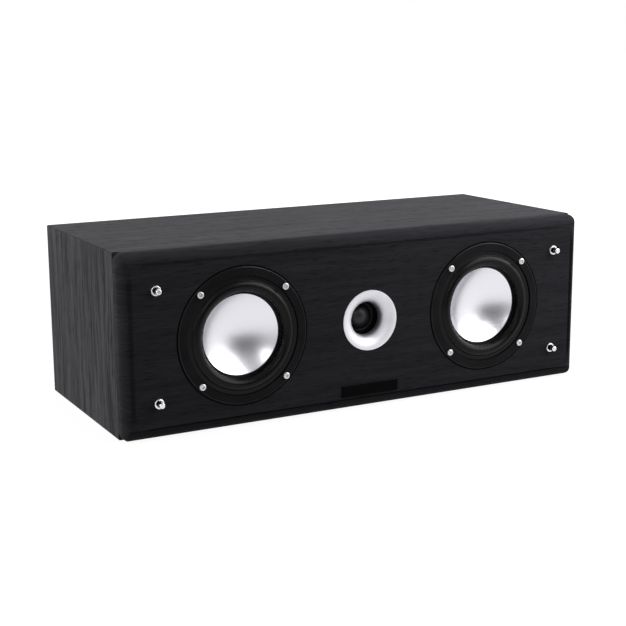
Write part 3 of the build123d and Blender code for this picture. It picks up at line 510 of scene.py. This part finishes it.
material, place, shader = new_finish("ferrite")
grit = place.noise((1100.0, 1100.0, 1100.0), 4.0, 0.7)
feed(shader, {
    "Base Color": grit.span(0.25, 0.75).tint(grey(0.025), grey(0.085)),
    "Roughness": 0.6 + grit * 0.25,
    "Normal": grit.bump(0.00012, 0.6),
})
paint(material, "woofer_magnet_left", "woofer_magnet_right", "tweeter_magnet")

# Voice coils
# Enamelled copper wire is wound in two layers on a former, which is rolled from thin aluminium
# sheet and glued to the back of the cone's dish.
material, place, shader = new_finish("rolled_aluminium")
rolling = place.noise((300.0, 4200.0, 300.0), 2.0)
feed(shader, {
    "Base Color": rolling.tint(grey(0.6), grey(0.78)),
    "Metallic": 1.0,
    "Roughness": 0.25 + rolling * 0.15,
})
paint(material, "woofer_former_left", "woofer_former_right")

wire_pitch = 0.00045


def enamelled_wire(name, axis):
    """Copper turns side by side along an axis of the frame: a sine of that distance, one wave to a turn."""
    material, place, shader = new_finish(name)
    turns = (place.parts()[axis] * (2 * math.pi / wire_pitch)).wave()
    varnish = place.noise((160.0, 160.0, 160.0), 3.0)
    feed(shader, {
        "Base Color": (turns * 0.7 + varnish * 0.3).tint((0.2, 0.055, 0.018, 1), (0.62, 0.25, 0.1, 1)),
        "Metallic": 0.85,
        "Roughness": 0.24 + varnish * 0.16,
        "Normal": turns.bump(0.00012, 0.6),
    })
    return material


paint(enamelled_wire("coil_copper", 1), "woofer_coil_left", "woofer_coil_right", "tweeter_coil")
paint(enamelled_wire("choke_copper", 2), "choke_winding", "tweeter_choke")

# Spiders
# A corrugated ring of cotton cloth, dipped in resin and hot pressed, centres each coil in its gap.
# It is glued to the basket's ledge and to the former.
spider_weave = 7400.0
material, place, shader = new_finish("dipped_cloth")
across, out, up = place.parts()
weave = (across * spider_weave).wave() * (up * spider_weave).wave()
stain = place.noise((120.0, 120.0, 120.0), 3.0)
feed(shader, {
    "Base Color": (weave * 0.6 + stain * 0.4).tint((0.3, 0.17, 0.04, 1), (0.7, 0.5, 0.2, 1)),
    "Roughness": 0.75,
    "Normal": weave.bump(0.0001, 0.6),
})
paint(material, "woofer_spider_left", "woofer_spider_right")


# Woofer cones
# A single dish of spun aluminium with a satin silver lacquer and no dust cap. Its flat rim is
# glued to the inner lip of the surround, and its back carries the former.
def lathe(name, outline, axis, steps, closed):
    """Turn an outline of (radius, depth) points about a driver's axis.

    At angle a a point lies at x = axis x + radius cos a, z = axis z + radius sin a, and y = front + depth.
    """
    turn = np.linspace(0.0, 2 * np.pi, steps, endpoint=False)[None, :]
    radius = outline[:, :1]
    depth = outline[:, 1:]
    x = axis[0] + radius * np.cos(turn)
    z = axis[1] + radius * np.sin(turn)
    points = np.stack(np.broadcast_arrays(x, front_y + depth, z), axis=-1)
    return surface(name, points, closed, True)


cone_rim = 0.0378
cone_rim_depth = 0.0062
cone_reach = 0.0416
dish_depth = 0.0178
cone_wall = 0.0008
cone_steps = 192
dish_points = 70
cone_fall = dish_depth - cone_rim_depth
cone_ball = (cone_rim**2 + cone_fall**2) / (2 * cone_fall)
cone_turn = math.asin(cone_rim / cone_ball)


def dish(offset):
    """Points of the dish from its middle to its rim: an arc of the ball that passes through both."""
    angle = np.linspace(0.0, cone_turn, dish_points)
    ball = cone_ball + offset
    return np.stack([ball * np.sin(angle), dish_depth - cone_ball + ball * np.cos(angle)], axis=1)


cone_edge = np.array([(cone_reach, cone_rim_depth), (cone_reach, cone_rim_depth + cone_wall)])
cone_outline = np.vstack([dish(0.0), cone_edge, dish(cone_wall)[::-1]])


def silver(level):
    """Silver lacquer of that linear level, which leans a little to blue."""
    return (level, level * 0.997, level * 1.055, 1.0)


material, place, shader = new_finish("silver_lacquer")
rings = from_woofer(place).join(0.0).noise((2600.0, 1.0, 1.0), 3.0, 0.6)
flake = place.noise((5200.0, 5200.0, 5200.0), 1.0)
feed(shader, {
    "Base Color": (rings * 0.5 + flake * 0.5).span(0.25, 0.75).tint(silver(0.71), silver(0.83)),
    "Metallic": 1.0,
    "Roughness": 0.24 + flake * 0.06,
    "Normal": rings.bump(0.00002, 0.25),
})
for side, axis in woofer_axes.items():
    cone = lathe(f"cone_{side}", cone_outline, axis, cone_steps, False)
    cone.data.materials.append(material)
    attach(cone, f"woofer_{side}")
    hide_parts(f"woofer_cone_{side}")


# Surrounds
# A half-roll of moulded rubber. Its outer lip is glued to the flange's step and its inner lip to
# the rim of the cone.
def arc(middle, radius, start, end, count):
    """Points round a centre of (radius, depth), angles in degrees from outwards, turning to the front."""
    angle = np.radians(np.linspace(start, end, count))
    return np.stack([middle[0] + radius * np.cos(angle), middle[1] - radius * np.sin(angle)], axis=1)


def soften(corners, spacing, reach):
    """A closed outline with even spacing, each point averaged with those within reach: corners turn round."""
    loop = np.vstack([corners, corners[:1]])
    run = np.concatenate([[0.0], np.cumsum(np.linalg.norm(np.diff(loop, axis=0), axis=1))])
    count = int(run[-1] / spacing)
    stops = np.arange(count) * run[-1] / count
    even = np.stack([np.interp(stops, run, loop[:, 0]), np.interp(stops, run, loop[:, 1])], axis=1)
    window = int(round(reach / spacing))
    return np.mean([np.roll(even, shift, axis=0) for shift in range(-window, window + 1)], axis=0)


lip_radius = 0.0553
lip_front = 0.0002
lip_back = 0.0009
roll_middle = (0.0460, 0.0026)
roll_front = 0.0056
roll_back = 0.0044
inner_front = 0.0050
inner_back = 0.0061
front_points = 60
back_points = 50
ring_steps = 176
outline_spacing = 0.00022
corner_reach = 0.00045
front_meet = math.degrees(math.asin((roll_middle[1] - lip_front) / roll_front))
back_meet = math.degrees(math.asin((roll_middle[1] - lip_back) / roll_back))
surround_corners = np.vstack([
    [(lip_radius, lip_front)],
    arc(roll_middle, roll_front, front_meet, 180.0, front_points),
    [(roll_middle[0] - roll_front, inner_front), (cone_rim, inner_front), (cone_rim, inner_back)],
    [(roll_middle[0] - roll_back, inner_back)],
    arc(roll_middle, roll_back, 180.0, back_meet, back_points),
    [(lip_radius, lip_back)],
])
surround_outline = soften(surround_corners, outline_spacing, corner_reach)

material, place, shader = new_finish("rubber")
bloom = place.noise((60.0, 60.0, 60.0), 4.0, 0.6)
skin = place.noise((3000.0, 3000.0, 3000.0), 2.0)
feed(shader, {
    "Base Color": bloom.span(0.3, 0.75).tint(ink(0.001), ink(0.0025)),
    "Roughness": 0.22 + bloom * 0.1,
    "Normal": skin.bump(0.00003, 0.4),
    "Specular IOR Level": 0.15,
})
for side, axis in woofer_axes.items():
    ring = lathe(f"surround_{side}", surround_outline, axis, ring_steps, True)
    ring.data.materials.append(material)
    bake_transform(ring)
    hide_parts(f"woofer_surround_{side}")

# Woofer screws
# Four zinc-plated steel screws with round heads and hexagon sockets hold each flange. The tweeter
# and the crossover have bright screws too, and the posts' lock nuts are plated alike.
material, place, shader = new_finish("bright_zinc")
grain = place.noise((900.0, 900.0, 900.0), 3.0)
feed(shader, {
    "Base Color": grain.span(0.3, 0.7).tint(grey(0.52), grey(0.68)),
    "Metallic": 1.0,
    "Roughness": 0.2 + grain * 0.16,
    "Normal": grain.bump(0.00003, 0.3),
})
paint(material, "woofer_screws", "tweeter_screws", "crossover_screws", "post_lock_nuts")

# Tweeter
# A coated cloth dome sits at the end of a black moulded throat, screwed on from inside. The silver
# trumpet ring in front is a separate aluminium piece, pressed into the baffle, and shade is painted
# dark on it towards the throat.
material, place, shader = new_finish("throat_matt")
pebble = place.noise((2300.0, 2300.0, 2300.0), 2.0)
feed(shader, {
    "Base Color": pebble.tint(grey(0.002), grey(0.005)),
    "Roughness": 0.55 + pebble * 0.15,
    "Normal": pebble.bump(0.00006, 0.5),
    "Specular IOR Level": 0.1,
})
paint(material, "tweeter_faceplate")

tweeter_axis = middle_of("tweeter_horn")
throat_shade_inner = 0.0150
throat_shade_outer = 0.0182


def from_tweeter(place):
    """How far a point lies from the tweeter's axis."""
    across, out, up = place.parts()
    return off_axis(across - tweeter_axis[0], up - tweeter_axis[1])


material, place, shader = new_finish("horn_lacquer")
flake = place.noise((4600.0, 4600.0, 4600.0), 1.0)
drift = place.noise((80.0, 80.0, 80.0), 3.0)
lacquer = (flake * 0.6 + drift * 0.4).span(0.25, 0.75).tint(silver(0.82), silver(0.94))
# Painted shade: the silver darkens to near black towards the throat.
clear_of_shade = from_tweeter(place).span(throat_shade_inner, throat_shade_outer)
feed(shader, {
    "Base Color": clear_of_shade.tint(grey(0.006), lacquer),
    "Metallic": 0.6,
    "Roughness": 0.46 + flake * 0.08,
    "Normal": flake.bump(0.00001, 0.2),
})
paint(material, "tweeter_horn")

dome_radius = 0.0125
dome_blend = 0.001
dome_weave = 16000.0
material, place, shader = new_finish("dome_cloth")
across, out, up = place.parts()
threads = (across * dome_weave).wave() * (up * dome_weave).wave()
coating = place.noise((700.0, 700.0, 700.0), 3.0)
on_roll = from_tweeter(place).span(dome_radius, dome_radius + dome_blend)
feed(shader, {
    "Base Color": on_roll.tint((threads * 0.5 + coating * 0.5).tint(ink(0.014), ink(0.026)), ink(0.001)),
    "Roughness": 0.32 + coating * 0.08 + on_roll * 0.5,
    "Normal": (threads * 0.7 + coating * 0.5).bump(0.00003, 0.3),
    "Specular IOR Level": 0.36,
})
paint(material, "tweeter_dome")

# Terminal cup and port
# A moulded black cup is let into the rear panel on a foam gasket and held by four black screws. The
# flared port tube is pushed into the panel and moulded of the same plastic.
material, place, shader = new_finish("moulded_black")
pebble = place.noise((2300.0, 2300.0, 2300.0), 2.0)
sheen = place.noise((60.0, 60.0, 60.0), 3.0)
feed(shader, {
    "Base Color": sheen.span(0.3, 0.7).tint(grey(0.009), grey(0.017)),
    "Roughness": 0.42 + sheen * 0.16,
    "Normal": pebble.bump(0.00006, 0.5),
    "Specular IOR Level": 0.42,
})
paint(material, "terminal_cup", "port_tube", "choke_bobbin", "crossover_spacers")

material, place, shader = new_finish("black_oxide")
worn = place.noise((700.0, 700.0, 700.0), 3.0)
feed(shader, {
    "Base Color": worn.span(0.35, 0.75).tint(grey(0.012), grey(0.05)),
    "Metallic": 0.5,
    "Roughness": 0.36 + worn * 0.15,
    "Normal": worn.bump(0.00003, 0.3),
})
paint(material, "cup_screws")

# Binding posts
# Turned brass posts with gold-coloured plating, one for each pole, with fluted thumb nuts moulded
# in red and black. A hexagon nut clamps each post from inside.
material, place, shader = new_finish("gold_plating")
lines = place.noise((120.0, 5200.0, 120.0), 2.0)
feed(shader, {
    "Base Color": lines.tint((0.72, 0.46, 0.13, 1), (0.92, 0.68, 0.28, 1)),
    "Metallic": 1.0,
    "Roughness": 0.16 + lines * 0.14,
    "Normal": lines.bump(0.00002, 0.3),
})
paint(material, "post_red", "post_black")


def moulded_nut(name, dark, light):
    """Glossy moulded plastic with faint flow marks."""
    material, place, shader = new_finish(name)
    flow = place.noise((380.0, 120.0, 380.0), 3.0)
    feed(shader, {
        "Base Color": flow.span(0.3, 0.7).tint(dark, light),
        "Roughness": 0.22 + flow * 0.16,
        "Normal": flow.bump(0.00004, 0.25),
    })
    return material


paint(moulded_nut("red_moulding", (0.34, 0.008, 0.008, 1), (0.52, 0.022, 0.02, 1)), "thumb_nut_red")
paint(moulded_nut("black_moulding", grey(0.01), grey(0.022)), "thumb_nut_black")

# Crossover and leads
# Capacitors in shrunk sleeves, a cement resistor and two chokes stand on the board, which is
# screwed to the cabinet's floor. Leads with a soft black cover join it to the posts and the drivers.
material, place, shader = new_finish("shrunk_sleeve")
wrinkle = place.noise((260.0, 260.0, 90.0), 3.0)
feed(shader, {
    "Base Color": wrinkle.tint((0.012, 0.025, 0.08, 1), (0.035, 0.06, 0.15, 1)),
    "Roughness": 0.28 + wrinkle * 0.14,
    "Normal": wrinkle.bump(0.0001, 0.3),
})
paint(material, "crossover_capacitors")

material, place, shader = new_finish("cement")
sand = place.noise((1300.0, 1300.0, 1300.0), 4.0, 0.7)
feed(shader, {
    "Base Color": sand.span(0.3, 0.7).tint((0.58, 0.55, 0.48, 1), (0.82, 0.8, 0.74, 1)),
    "Roughness": 0.85,
    "Normal": sand.bump(0.00015, 0.6),
})
paint(material, "crossover_resistor")

material, place, shader = new_finish("lead_cover")
ribs = place.noise((800.0, 800.0, 800.0), 3.0)
feed(shader, {
    "Base Color": ribs.tint(grey(0.02), grey(0.05)),
    "Roughness": 0.5 + ribs * 0.12,
    "Normal": ribs.bump(0.00005, 0.4),
})
paint(material, "input_leads", "tweeter_lead", "woofer_lead_left", "woofer_lead_right")

# Studio
# A pale floor that runs into a white surround, with soft lamps to the right, overhead and at the
# left end, and a small one in front. A dark net in front leaves a shaded patch in the bright metal.
floor_reach = 14.0
corners = [(x * floor_reach, y * floor_reach, 0.0) for x, y in ((-1, -1), (1, -1), (1, 1), (-1, 1))]
floor_mesh = bpy.data.meshes.new("floor")
floor_mesh.from_pydata(corners, [], [(0, 1, 2, 3)])
floor = bpy.data.objects.new("floor", floor_mesh)
bpy.context.collection.objects.link(floor)


def seen_ray(tree):
    """1 for rays that show the background: from the camera, off gloss or through glass."""
    path = tree.nodes.new("ShaderNodeLightPath")
    kinds = ("Camera", "Glossy", "Transmission")
    camera, gloss, glass = (Wire(tree, path.outputs[f"Is {kind} Ray"]) for kind in kinds)
    return camera.math("MAXIMUM", camera.math("MAXIMUM", camera, gloss), glass)


floor_bounce = grey(0.2)
floor_seen = grey(0.5)
shadow_reach = 0.45
shadow_end = 1.6
white_share = 0.68
white_strength = 1.36
material = bpy.data.materials.new("pale_floor")
material.use_nodes = True
tree = material.node_tree
tree.nodes.clear()
seen = seen_ray(tree)
across, out, up = Wire(tree, tree.nodes.new("ShaderNodeTexCoord").outputs["Object"]).parts()
far = off_axis(across, out).span(shadow_reach, shadow_end)
matt = seen.add("ShaderNodeBsdfDiffuse", {}, {"Color": seen.tint(floor_bounce, floor_seen)})
white = seen.add("ShaderNodeEmission", {}, {"Color": grey(1.0), "Strength": white_strength})
shown = seen * (white_share + far * (1 - white_share))
mixed = seen.add("ShaderNodeMixShader", {}, {0: shown, 1: matt, 2: white})
feed(tree.nodes.new("ShaderNodeOutputMaterial"), {"Surface": mixed})
floor_mesh.materials.append(material)

fill_light = 0.08
world = bpy.data.worlds.new("surround")
bpy.context.scene.world = world
world.use_nodes = True
tree = world.node_tree
brightness = fill_light + seen_ray(tree) * (1 - fill_light)
feed(tree.nodes["Background"], {"Color": grey(1.0), "Strength": brightness})


def toward(azimuth, elevation):
    """Unit direction from degrees: azimuth from straight out of the front towards +X, elevation upwards."""
    azimuth, elevation = math.radians(azimuth), math.radians(elevation)
    level = math.cos(elevation)
    return Vector((math.sin(azimuth) * level, -math.cos(azimuth) * level, math.sin(elevation)))


target = Vector((0.0, 0.0, middle_z))


def soft_lamp(name, azimuth, elevation, distance, width, height, radiance):
    """A flat rectangular lamp facing the speaker; its power is radiance times area times pi."""
    data = bpy.data.lights.new(name, "AREA")
    data.shape = "RECTANGLE"
    data.size = width
    data.size_y = height
    data.energy = radiance * width * height * math.pi
    lamp = bpy.data.objects.new(name, data)
    bpy.context.collection.objects.link(lamp)
    lamp.location = target + toward(azimuth, elevation) * distance
    lamp.rotation_euler = (target - lamp.location).to_track_quat("-Z", "Y").to_euler()
    lamp.visible_camera = False


soft_lamp("main_lamp", 57.0, 38.0, 0.74, 1.02, 0.53, 2.6)
soft_lamp("low_lamp", 60.0, 14.0, 0.95, 0.95, 0.31, 1.35)
soft_lamp("side_lamp", -25.0, 25.0, 2.4, 0.58, 0.78, 2.3)
soft_lamp("end_lamp", -100.0, 18.0, 2.0, 1.6, 1.1, 3.9)
soft_lamp("top_lamp", 180.0, 76.0, 1.5, 1.6, 0.8, 1.85)

net_radius = 2.6
net_start = 0.22
net_full = 0.9
net_lift = 0.002
net_dark = 0.85
net_middle = math.radians(-34.0)
net_half = math.radians(82.0)
net_even = 0.64 * net_half
core_middle = math.radians(7.0)
core_half = math.radians(44.0)
core_even = 0.18 * core_half
net_top = math.radians(80.0)
thin_start = 0.2 * net_radius
thin_end = 0.56 * net_radius
thin_share = 0.4
# Each row is a bearing in front of the speaker. Along it the net lies flat from its start out to
# its radius, and then climbs as part of a ball of that radius.
spread = np.linspace(net_middle - net_half, net_middle + net_half, 60)[:, None]
flat = np.linspace(net_start, net_radius, 40)
climb = np.linspace(0.0, net_top, 24)
reach = np.concatenate([flat, net_radius * np.cos(climb)])[None, :]
lift = net_lift + np.concatenate([np.zeros_like(flat), net_radius * np.sin(climb)])[None, :]
net_grid = np.broadcast_arrays(reach * np.sin(spread), front_y - reach * np.cos(spread), lift)
net = surface("dark_net", np.stack(net_grid, axis=-1), False, False)
material, place, shader = new_finish("net_cloth")
tree = material.node_tree
across, out, up = place.parts()
ahead = front_y - out
bearing = across.math("ARCTAN2", across, ahead)
off_middle = abs(bearing - net_middle).span(net_even, net_half)
off_core = abs(bearing - core_middle).span(core_even, core_half)
weight = 1 - off_middle * 0.5 - off_core * 0.5
weight = weight * off_axis(across, ahead).span(net_start, net_full)
weight = weight * (1 - up.span(thin_start, thin_end) * thin_share)
feed(shader, {"Base Color": grey(0.03), "Roughness": 0.9, "Specular IOR Level": 0.1})
clear = across.add("ShaderNodeBsdfTransparent", {}, {})
cloth = Wire(tree, shader.outputs[0])
feed(tree.nodes["Material Output"], {
    "Surface": across.add("ShaderNodeMixShader", {}, {0: weight * net_dark, 1: clear, 2: cloth})
})
net.data.materials.append(material)
net.visible_camera = False
net.visible_diffuse = False
net.visible_shadow = False

# Camera
# It stands to the left of the front and a little above, as in the photograph.
eye = Vector((-0.617569, -1.151474, 0.355248))
yaw, pitch, roll = (math.radians(angle) for angle in (27.961, 12.153, -0.354))
forward = Vector((math.sin(yaw) * math.cos(pitch), math.cos(yaw) * math.cos(pitch), -math.sin(pitch)))
level_right = Vector((math.cos(yaw), -math.sin(yaw), 0.0))
level_up = level_right.cross(forward)
right = level_right * math.cos(roll) + level_up * math.sin(roll)
up = level_up * math.cos(roll) - level_right * math.sin(roll)
camera_data = bpy.data.cameras.new("camera")
camera_data.lens = 75.03
camera_data.sensor_width = 36.0
camera = bpy.data.objects.new("camera", camera_data)
bpy.context.collection.objects.link(camera)
stand = Matrix((right, up, -forward)).transposed().to_4x4()
stand.translation = eye
camera.matrix_world = stand
bpy.context.scene.camera = camera
bpy.context.scene.view_settings.view_transform = "Standard"
